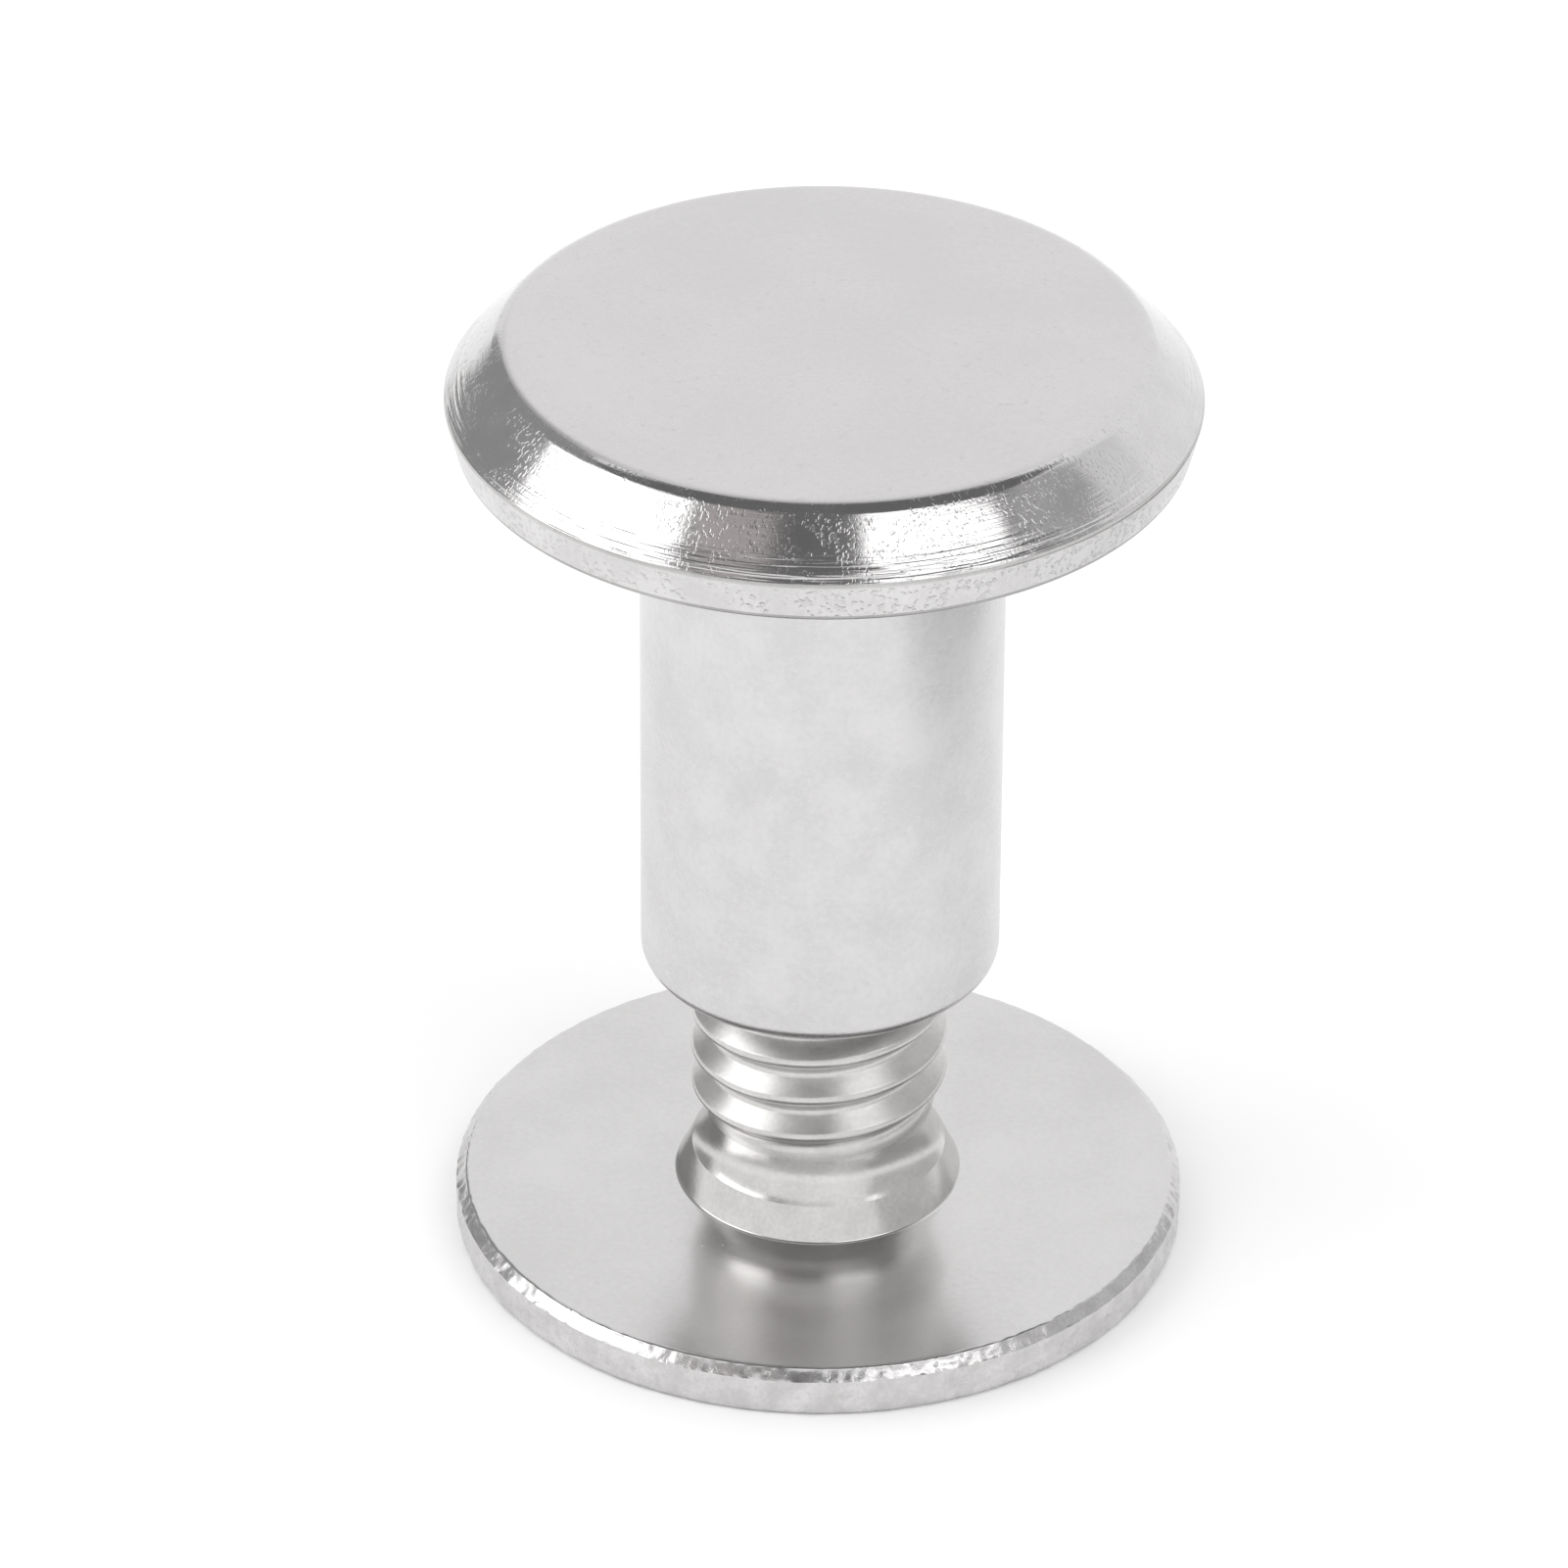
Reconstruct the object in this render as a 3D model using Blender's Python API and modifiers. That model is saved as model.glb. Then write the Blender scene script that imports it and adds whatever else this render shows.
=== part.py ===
"""Screw rivet stud: a two-piece binding screw, shown partly unscrewed.

A flat-headed screw stands on its head. A post with a bevelled head and a
barrel, bored from below, is threaded on the screw's shank. Sheets with a
punched hole over the barrel are clamped between the two heads.

Units are metres, +Z runs up the common axis, and the origin is the centre of
the screw head's outer face, on which the stud stands.
"""

import math

import bmesh
import bpy

MM = 0.001

# Both heads
HEAD_RADIUS = 5.0 * MM

# Screw head: a disc that stands on its outer face
SCREW_HEAD_THICKNESS = 0.70 * MM
SCREW_HEAD_INNER_EDGE_FILLET = 0.24 * MM
SCREW_HEAD_OUTER_EDGE_FILLET = 0.12 * MM

# Blind driver slot in the screw head's outer face
SLOT_LENGTH = 6.4 * MM
SLOT_WIDTH = 1.2 * MM
SLOT_DEPTH = 0.35 * MM

# Collar, flare and plain neck between the screw head and the thread
COLLAR_TAPER = 0.21 * MM
COLLAR_HEIGHT = 0.46 * MM
NECK_FLARE_WIDTH = 0.20 * MM
NECK_FLARE_HEIGHT = 0.24 * MM
NECK_FLARE_FILLET = 0.85 * MM
NECK_HEIGHT = 0.35 * MM
NECK_UNDERCUT = 0.21 * MM

# Right-hand metric thread on the shank
THREAD_MAJOR_DIAMETER = 3.50 * MM
THREAD_PITCH = 0.60 * MM
SHANK_SHORTFALL = 1.9 * MM
THREAD_START_ANGLE = math.radians(-22)
RUN_OUT_LENGTH = 0.38 * MM
TIP_CHAMFER_DEPTH = 0.20 * MM

# Rolled thread form, as shares of the pitch, shallower than the full metric form
THREAD_DEPTH_SHARE = 0.42
CREST_FLAT_SHARE = 0.20
FLANK_ANGLE = math.radians(30)

# Post head: flat top, conical bevel, thin rim band and flat underside
POST_TOP_CROWN = 0.04 * MM
POST_TOP_EDGE_FILLET = 0.35 * MM
POST_BEVEL_WIDTH = 0.74 * MM
POST_BEVEL_HEIGHT = 0.80 * MM
POST_RIM_HEIGHT = 0.58 * MM
POST_RIM_TAPER = 0.15 * MM
POST_RIM_EDGE_FILLET = 0.04 * MM

# Post barrel, with a blind bore that opens in a countersunk mouth
BARREL_LENGTH = 8.1 * MM
BARREL_ROOT_FILLET = 0.15 * MM
BARREL_END_FILLET = 0.26 * MM
BORE_CLEARANCE = 0.08 * MM
BORE_END_SETBACK = 0.9 * MM
DRILL_POINT_HALF_ANGLE = math.radians(59)
MOUTH_CLEARANCE = 0.20 * MM
MOUTH_LIP_WIDTH = 0.28 * MM

# Length of shank inside the barrel, as posed
ENGAGED_LENGTH = 2.67 * MM

# Facets
ROUND_STEPS = 80
SLOT_STEPS = 24
FILLET_STEP = math.radians(18)
CROWN_RINGS = 2
SHARP_ANGLE = math.radians(25)
MERGE_DISTANCE = 0.001 * MM
STEP_ROUNDING = 1e-6

# Sizes that follow from the ones above
THREAD_MAJOR_RADIUS = THREAD_MAJOR_DIAMETER / 2
THREAD_DEPTH = THREAD_DEPTH_SHARE * THREAD_PITCH
THREAD_ROOT_RADIUS = THREAD_MAJOR_RADIUS - THREAD_DEPTH
NECK_RADIUS = THREAD_MAJOR_RADIUS - NECK_UNDERCUT
COLLAR_TOP_RADIUS = NECK_RADIUS + NECK_FLARE_WIDTH
COLLAR_BASE_RADIUS = COLLAR_TOP_RADIUS + COLLAR_TAPER
COLLAR_TOP_Z = SCREW_HEAD_THICKNESS + COLLAR_HEIGHT
NECK_BASE_Z = COLLAR_TOP_Z + NECK_FLARE_HEIGHT
THREAD_START_Z = NECK_BASE_Z + NECK_HEIGHT
TIP_Z = SCREW_HEAD_THICKNESS + BARREL_LENGTH - SHANK_SHORTFALL
BORE_RADIUS = THREAD_MAJOR_RADIUS + BORE_CLEARANCE
MOUTH_RADIUS = COLLAR_BASE_RADIUS + MOUTH_CLEARANCE
BARREL_RADIUS = MOUTH_RADIUS + MOUTH_LIP_WIDTH
BORE_DEPTH = BARREL_LENGTH - BORE_END_SETBACK
BEVEL_FOOT_Z = BARREL_LENGTH + POST_RIM_HEIGHT
BEVEL_TOP_Z = BEVEL_FOOT_Z + POST_BEVEL_HEIGHT
POST_TOP_RADIUS = HEAD_RADIUS - POST_BEVEL_WIDTH
MOUTH_Z = TIP_Z - ENGAGED_LENGTH

# How far the slot's cutter reaches past the face it cuts
REACH = 0.3 * MM


def clear_scene():
    """Remove every object of the open scene."""
    for item in list(bpy.data.objects):
        bpy.data.objects.remove(item, do_unlink=True)


def new_collection(name):
    """Add a collection to the scene and return it."""
    collection = bpy.data.collections.new(name)
    bpy.context.scene.collection.children.link(collection)
    return collection


def metal(name, color, roughness):
    """Return a plated metal material."""
    material = bpy.data.materials.new(name)
    material.use_nodes = True
    shader = material.node_tree.nodes["Principled BSDF"]
    shader.inputs["Base Color"].default_value = (*color, 1.0)
    shader.inputs["Metallic"].default_value = 1.0
    shader.inputs["Roughness"].default_value = roughness
    return material


def fillet_points(before, corner, after, radius):
    """Return the arc that rounds a corner, as (r, z) points.

    The arc may use up a neighbouring straight, or half of it where the next
    corner is rounded too, so a fillet is limited by its wall.
    """
    to_before = (before[0] - corner[0], before[1] - corner[1])
    to_after = (after[0] - corner[0], after[1] - corner[1])
    length_before = math.hypot(*to_before)
    length_after = math.hypot(*to_after)
    unit_before = (to_before[0] / length_before, to_before[1] / length_before)
    unit_after = (to_after[0] / length_after, to_after[1] / length_after)
    cosine = unit_before[0] * unit_after[0] + unit_before[1] * unit_after[1]
    half_angle = math.acos(max(-1.0, min(1.0, cosine))) / 2
    room_before = length_before / 2 if before[2] > 0 else length_before
    room_after = length_after / 2 if after[2] > 0 else length_after
    cut_back = min(radius / math.tan(half_angle), room_before, room_after)
    radius = cut_back * math.tan(half_angle)
    start = (corner[0] + unit_before[0] * cut_back, corner[1] + unit_before[1] * cut_back)
    bisector = (unit_before[0] + unit_after[0], unit_before[1] + unit_after[1])
    scale = radius / math.sin(half_angle) / math.hypot(*bisector)
    centre = (corner[0] + bisector[0] * scale, corner[1] + bisector[1] * scale)
    turn = math.pi - 2 * half_angle
    cross = unit_before[0] * unit_after[1] - unit_before[1] * unit_after[0]
    turn_sign = 1.0 if cross < 0 else -1.0
    steps = max(1, math.ceil(turn / FILLET_STEP - STEP_ROUNDING))
    first = math.atan2(start[1] - centre[1], start[0] - centre[0])
    angles = [first + turn_sign * turn * step / steps for step in range(steps + 1)]
    return [
        (centre[0] + radius * math.cos(angle), centre[1] + radius * math.sin(angle))
        for angle in angles
    ]


def rounded_outline(corners):
    """Return (r, z) points through corners given as (r, z, fillet radius)."""
    points = [corners[0][:2]]
    for before, corner, after in zip(corners, corners[1:], corners[2:]):
        if corner[2] > 0:
            points += fillet_points(before, corner, after, corner[2])
        else:
            points.append(corner[:2])
    points.append(corners[-1][:2])
    return points


def turned(name, corners, collection):
    """Turn an outline about the Z axis. It runs down its outer side.

    An outline that starts and ends on the axis makes a closed solid.
    """
    points = rounded_outline(corners)
    mesh = bpy.data.meshes.new(name)
    vertices = [(radius, 0.0, height) for radius, height in points]
    edges = [(index, index + 1) for index in range(len(points) - 1)]
    mesh.from_pydata(vertices, edges, [])
    solid = bpy.data.objects.new(name, mesh)
    collection.objects.link(solid)
    turn = solid.modifiers.new("Turn", "SCREW")
    turn.axis = "Z"
    turn.angle = math.tau
    turn.steps = ROUND_STEPS
    turn.render_steps = ROUND_STEPS
    turn.use_merge_vertices = True
    turn.merge_threshold = MERGE_DISTANCE
    turn.use_smooth_shade = False
    return solid


def apply_modifiers(solid):
    """Replace a solid's mesh by its evaluated one."""
    graph = bpy.context.evaluated_depsgraph_get()
    mesh = bpy.data.meshes.new_from_object(solid.evaluated_get(graph))
    solid.modifiers.clear()
    solid.data = mesh


def finish(solid, material):
    """Apply a solid's modifiers, shade it smooth up to its edges and plate it."""
    apply_modifiers(solid)
    solid.data.shade_smooth()
    solid.data.set_sharp_from_angle(angle=SHARP_ANGLE)
    solid.data.materials.append(material)


def thread_phases():
    """Return a turn's break points as (share of the pitch, full radius).

    They are the start and end of the crest flat, then of the root flat.
    """
    flank_share = THREAD_DEPTH_SHARE * math.tan(FLANK_ANGLE)
    root_start = CREST_FLAT_SHARE + flank_share
    return [
        (0.0, THREAD_MAJOR_RADIUS),
        (CREST_FLAT_SHARE, THREAD_MAJOR_RADIUS),
        (root_start, THREAD_ROOT_RADIUS),
        (1.0 - flank_share, THREAD_ROOT_RADIUS),
    ]


def thread_radius(full_radius, height):
    """Return the shank's radius at a height, for a crest or a root.

    Crests and roots both grow out of the plain neck over the run-out, and the
    tip's chamfer cuts across them.
    """
    share = min(1.0, (height - THREAD_START_Z) / RUN_OUT_LENGTH)
    radius = NECK_RADIUS + (full_radius - NECK_RADIUS) * share
    tip_radius = THREAD_ROOT_RADIUS - TIP_CHAMFER_DEPTH
    return min(radius, tip_radius + TIP_Z - height)


def add_thread(solid):
    """Grow the threaded shank from the open ring at the top of the neck.

    Rows of points climb a right-hand helix, one row for each break point of
    the thread's section. Rows that would pass the neck or the tip stop there.
    """
    build = bmesh.new()
    build.from_mesh(solid.data)
    phases = thread_phases()
    turns = math.ceil((TIP_Z - THREAD_START_Z) / THREAD_PITCH)
    start_share = THREAD_START_ANGLE / math.tau
    first_turn = math.floor(start_share) - 1
    last_turn = math.ceil(start_share) + turns
    rows = []
    for turn in range(first_turn, last_turn + 1):
        for share, full_radius in phases:
            row = []
            for step in range(ROUND_STEPS + 1):
                angle = math.tau * step / ROUND_STEPS
                climb = THREAD_PITCH * (turn + share + step / ROUND_STEPS - start_share)
                height = min(max(THREAD_START_Z + climb, THREAD_START_Z), TIP_Z)
                radius = thread_radius(full_radius, height)
                point = (radius * math.cos(angle), radius * math.sin(angle), height)
                row.append(build.verts.new(point))
            rows.append(row)
    for lower, upper in zip(rows, rows[1:]):
        for step in range(ROUND_STEPS):
            build.faces.new((lower[step], lower[step + 1], upper[step + 1], upper[step]))
    build.faces.new(rows[-1][:ROUND_STEPS])
    bmesh.ops.remove_doubles(build, verts=build.verts, dist=MERGE_DISTANCE)
    build.to_mesh(solid.data)
    build.free()


def slot_cutter(collection):
    """Make the round-ended bar that presses the driver slot."""
    half_straight = (SLOT_LENGTH - SLOT_WIDTH) / 2
    build = bmesh.new()
    bmesh.ops.create_cone(
        build,
        cap_ends=True,
        segments=SLOT_STEPS,
        radius1=SLOT_WIDTH / 2,
        radius2=SLOT_WIDTH / 2,
        depth=SLOT_DEPTH + REACH,
    )
    for vertex in build.verts:
        if abs(vertex.co.x) > MERGE_DISTANCE:
            vertex.co.x += math.copysign(half_straight, vertex.co.x)
    bmesh.ops.translate(build, verts=build.verts, vec=(0.0, 0.0, (SLOT_DEPTH - REACH) / 2))
    mesh = bpy.data.meshes.new("slot_cutter")
    build.to_mesh(mesh)
    build.free()
    cutter = bpy.data.objects.new("slot_cutter", mesh)
    collection.objects.link(cutter)
    cutter.hide_render = True
    cutter.display_type = "WIRE"
    return cutter


def slotted_screw(parts, cutters):
    """Make the screw: slotted disc head, collar, neck and threaded shank."""
    outline = [
        (NECK_RADIUS, THREAD_START_Z, 0.0),
        (NECK_RADIUS, NECK_BASE_Z, NECK_FLARE_FILLET),
        (COLLAR_TOP_RADIUS, COLLAR_TOP_Z, 0.0),
        (COLLAR_BASE_RADIUS, SCREW_HEAD_THICKNESS, 0.0),
        (HEAD_RADIUS, SCREW_HEAD_THICKNESS, SCREW_HEAD_INNER_EDGE_FILLET),
        (HEAD_RADIUS, 0.0, SCREW_HEAD_OUTER_EDGE_FILLET),
        (0.0, 0.0, 0.0),
    ]
    screw = turned("slotted_screw", outline, parts)
    apply_modifiers(screw)
    add_thread(screw)
    slot = screw.modifiers.new("Slot", "BOOLEAN")
    slot.operation = "DIFFERENCE"
    slot.object = slot_cutter(cutters)
    slot.solver = "EXACT"
    finish(screw, metal("satin_nickel", (0.72, 0.71, 0.70), 0.3))
    return screw


def threaded_post(parts):
    """Make the post, with its origin on the axis in the plane of its mouth."""
    crown_shares = [ring / CROWN_RINGS for ring in range(CROWN_RINGS)]
    crown = [
        (POST_TOP_RADIUS * share, BEVEL_TOP_Z + POST_TOP_CROWN * (1.0 - share**2), 0.0)
        for share in crown_shares
    ]
    drill_point = BORE_RADIUS / math.tan(DRILL_POINT_HALF_ANGLE)
    outline = [
        *crown,
        (POST_TOP_RADIUS, BEVEL_TOP_Z, POST_TOP_EDGE_FILLET),
        (HEAD_RADIUS, BEVEL_FOOT_Z, POST_RIM_EDGE_FILLET),
        (HEAD_RADIUS - POST_RIM_TAPER, BARREL_LENGTH, POST_RIM_EDGE_FILLET),
        (BARREL_RADIUS, BARREL_LENGTH, BARREL_ROOT_FILLET),
        (BARREL_RADIUS, 0.0, BARREL_END_FILLET),
        (MOUTH_RADIUS, 0.0, 0.0),
        (BORE_RADIUS, MOUTH_RADIUS - BORE_RADIUS, 0.0),
        (BORE_RADIUS, BORE_DEPTH, 0.0),
        (0.0, BORE_DEPTH + drill_point, 0.0),
    ]
    post = turned("threaded_post", outline, parts)
    finish(post, metal("polished_nickel", (0.78, 0.77, 0.76), 0.15))
    return post


def main():
    """Build the stud as posed."""
    clear_scene()
    parts = new_collection("screw_rivet_stud")
    cutters = new_collection("cutters")
    screw = slotted_screw(parts, cutters)
    post = threaded_post(parts)
    post.parent = screw
    post.location = (0.0, 0.0, MOUTH_Z)


main()
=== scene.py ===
"""Looks of a screw rivet stud: a two-piece binding screw, partly unscrewed.

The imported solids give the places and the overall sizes. Each of the two pieces
is modelled again round them in millimetres, with finer rounds, a rolled thread
and a worn rim, and is dressed in nickel plate. Its mesh is brought to metres
last of all.
"""

from __future__ import annotations

import logging
import math
from collections.abc import Callable, Sequence
from dataclasses import dataclass, field, replace
from enum import Enum

import bmesh
import bpy
from mathutils import Matrix, Quaternion, Vector


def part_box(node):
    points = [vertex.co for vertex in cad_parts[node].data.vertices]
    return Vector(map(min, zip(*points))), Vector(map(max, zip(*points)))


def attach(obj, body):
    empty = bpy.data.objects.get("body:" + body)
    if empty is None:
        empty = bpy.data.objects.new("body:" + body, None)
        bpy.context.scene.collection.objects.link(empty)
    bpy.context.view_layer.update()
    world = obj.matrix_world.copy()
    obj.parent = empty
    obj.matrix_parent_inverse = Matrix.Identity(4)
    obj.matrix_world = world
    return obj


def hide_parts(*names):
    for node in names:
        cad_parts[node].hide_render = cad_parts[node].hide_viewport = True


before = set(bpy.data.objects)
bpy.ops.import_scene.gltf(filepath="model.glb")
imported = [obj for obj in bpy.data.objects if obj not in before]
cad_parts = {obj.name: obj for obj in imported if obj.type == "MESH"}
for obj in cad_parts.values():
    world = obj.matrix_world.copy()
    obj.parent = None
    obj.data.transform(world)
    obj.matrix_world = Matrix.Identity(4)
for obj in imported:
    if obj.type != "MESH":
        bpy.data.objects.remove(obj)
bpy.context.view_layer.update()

MM = 0.001  # a millimetre in metres
MERGE_DISTANCE = 0.0004  # in millimetres
TOUCH = 0.002  # in millimetres
SMOOTH_ANGLE = math.radians(32)
NOISE_MEAN = 0.5
MIX_FIRST, MIX_SECOND, MIX_RESULT = 6, 7, 2  # colour sockets of a Mix node

log = logging.getLogger("stud")

Place = Callable[[float, float], bool]
Weight = Callable[[float, float], float]


@dataclass(frozen=True)
class Corner:
    """A corner of a turned outline, in millimetres.

    Attributes:
        radius: Distance from the axis.
        height: Height above the surface that the stud stands on.
        fillet: Radius of the round at the corner, or 0 for a sharp one.
    """

    radius: float
    height: float
    fillet: float = 0.0


def node_box(node: str) -> tuple[Vector, Vector]:
    """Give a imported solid's lowest and highest corners in millimetres.

    Args:
        node: Name of the solid.

    Returns:
        The lowest and the highest corner.
    """
    low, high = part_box(node)
    return low / MM, high / MM


def place_of(point: Vector) -> tuple[float, float]:
    """Return a point's distance from the axis and its height."""
    return math.hypot(point.x, point.y), point.z


def select_places(piece: bpy.types.Object, wanted: Place, kind: str = "VERT") -> None:
    """Select the points or faces of the open piece whose place is wanted.

    Args:
        piece: Piece that is open in edit mode.
        wanted: Says of a radius and a height whether it is wanted.
        kind: VERT for points and the edges between them, FACE for faces.
    """
    bpy.ops.mesh.select_mode(type=kind)
    bpy.ops.mesh.select_all(action="DESELECT")
    mesh = bmesh.from_edit_mesh(piece.data)
    if kind == "FACE":
        for face in mesh.faces:
            face.select = wanted(*place_of(face.calc_center_median()))
    else:
        for vertex in mesh.verts:
            vertex.select = wanted(*place_of(vertex.co))
    mesh.select_flush(True)
    bmesh.update_edit_mesh(piece.data)


def near(radius: float, height: float) -> Place:
    """Return a test for points at one radius and one height."""
    return lambda r, z: abs(r - radius) < TOUCH and abs(z - height) < TOUCH


def draw_outline(name: str, corners: Sequence[Corner]) -> bpy.types.Object:
    """Draw an outline in the XZ plane, from a single point on.

    Args:
        name: Name of the new outline.
        corners: Its corners, in order.

    Returns:
        The outline with sharp corners, open in edit mode.
    """
    bpy.ops.object.select_all(action="DESELECT")
    bpy.ops.mesh.primitive_plane_add(size=1.0, location=(0.0, 0.0, 0.0))
    outline = bpy.context.object
    outline.name = name
    bpy.ops.object.mode_set(mode="EDIT")
    bpy.ops.mesh.select_mode(type="VERT")
    bpy.ops.mesh.select_all(action="SELECT")
    bpy.ops.mesh.merge(type="CENTER")
    bpy.ops.transform.translate(value=(corners[0].radius, 0.0, corners[0].height))
    for last, corner in zip(corners, corners[1:]):
        step = (corner.radius - last.radius, 0.0, corner.height - last.height)
        bpy.ops.mesh.extrude_vertices_move(TRANSFORM_OT_translate={"value": step})
    return outline


def round_corner(outline: bpy.types.Object, corner: Corner, reach: float, cuts: int) -> None:
    """Round a corner of the open outline.

    Args:
        outline: Outline in edit mode.
        corner: Corner that is rounded.
        reach: How far from the corner the round starts on each side.
        cuts: Number of segments in the round.
    """
    select_places(outline, near(corner.radius, corner.height))
    bpy.ops.mesh.bevel(
        affect="VERTICES",
        offset=reach,
        offset_type="OFFSET",
        segments=cuts,
        profile=0.5,
        clamp_overlap=False,
    )


def paint_weights(piece: bpy.types.Object, name: str, weight: Weight) -> bpy.types.VertexGroup:
    """Weigh a piece's points by their places.

    Args:
        piece: Piece in object mode.
        name: Name of the new vertex group.
        weight: Gives a weight from a radius and a height. A point at 0 or below is left out.

    Returns:
        The vertex group that holds the weights.
    """
    group = piece.vertex_groups.new(name=name)
    for vertex in piece.data.vertices:
        share = weight(*place_of(vertex.co))
        if share > 0.0:
            group.add([vertex.index], min(1.0, share), "REPLACE")
    return group


def merge_points() -> None:
    """Merge the open piece's points that lie together."""
    bpy.ops.mesh.select_mode(type="VERT")
    bpy.ops.mesh.select_all(action="SELECT")
    bpy.ops.mesh.remove_doubles(threshold=MERGE_DISTANCE)


def join_parts(name: str, parts: Sequence[bpy.types.Object]) -> bpy.types.Object:
    """Join parts whose rings meet into one mesh, and open it in edit mode.

    Args:
        name: Name of the joined piece.
        parts: Parts that share rings of points.

    Returns:
        The joined piece, open in edit mode.
    """
    bpy.ops.object.select_all(action="DESELECT")
    for part in parts:
        part.select_set(True)
    bpy.context.view_layer.objects.active = parts[0]
    bpy.ops.object.join()
    piece = bpy.context.object
    piece.name = name
    bpy.ops.object.mode_set(mode="EDIT")
    merge_points()
    return piece


@dataclass(frozen=True)
class Lathe:
    """Draws an outline point by point, rounds it and spins it about Z.

    Attributes:
        steps: Number of steps in a full turn.
        longest: Length in millimetres past which a straight is cut again.
        fillet_step: Largest turn between two points of a fillet.
    """

    steps: int
    longest: float = 1.2
    fillet_step: float = math.radians(7)

    def turn(self, name: str, corners: Sequence[Corner]) -> bpy.types.Object:
        """Turn an outline into a surface.

        Args:
            name: Name of the new part.
            corners: The outline's corners, in order.

        Returns:
            The turned part, in object mode.
        """
        part = draw_outline(name, corners)
        for before, corner, after in zip(corners, corners[1:], corners[2:]):
            if corner.fillet > 0.0:
                self._round(part, before, corner, after)
        self._cut_straights(part)
        bpy.ops.mesh.select_all(action="SELECT")
        bpy.ops.mesh.spin(
            steps=self.steps, angle=math.tau, dupli=False, center=(0.0, 0.0, 0.0), axis=(0.0, 0.0, 1.0)
        )
        merge_points()
        bpy.ops.object.mode_set(mode="OBJECT")
        return part

    def _round(self, part: bpy.types.Object, before: Corner, corner: Corner, after: Corner) -> None:
        """Round a corner of the open outline.

        Args:
            part: Part that holds the outline.
            before: Corner before the one that is rounded.
            corner: Corner that is rounded.
            after: Corner after it.
        """
        first = Vector((before.radius - corner.radius, before.height - corner.height))
        second = Vector((after.radius - corner.radius, after.height - corner.height))
        inner = first.angle(second)
        cuts = max(2, math.ceil((math.pi - inner) / self.fillet_step))
        round_corner(part, corner, corner.fillet / math.tan(inner / 2), cuts)

    def _cut_straights(self, part: bpy.types.Object) -> None:
        """Halve the open outline's edges until none is longer than the limit.

        Args:
            part: Part that holds the outline.
        """
        bpy.ops.mesh.select_mode(type="EDGE")
        while True:
            bpy.ops.mesh.select_all(action="DESELECT")
            mesh = bmesh.from_edit_mesh(part.data)
            long_edges = [edge for edge in mesh.edges if edge.calc_length() > self.longest]
            if not long_edges:
                break
            for edge in long_edges:
                edge.select_set(True)
            bmesh.update_edit_mesh(part.data)
            bpy.ops.mesh.subdivide(number_cuts=1)
        bpy.ops.mesh.select_mode(type="VERT")


class PitShape(Enum):
    """How the pits of a finish lie."""

    ROUND = "round"
    UPRIGHT = "long across the turned marks"


class ThreadEnd(Enum):
    """How the ridges of a thread come to an end."""

    RUN_OUT = "fades into a plain cylinder"
    CHAMFER = "cut off by a cone"


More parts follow.
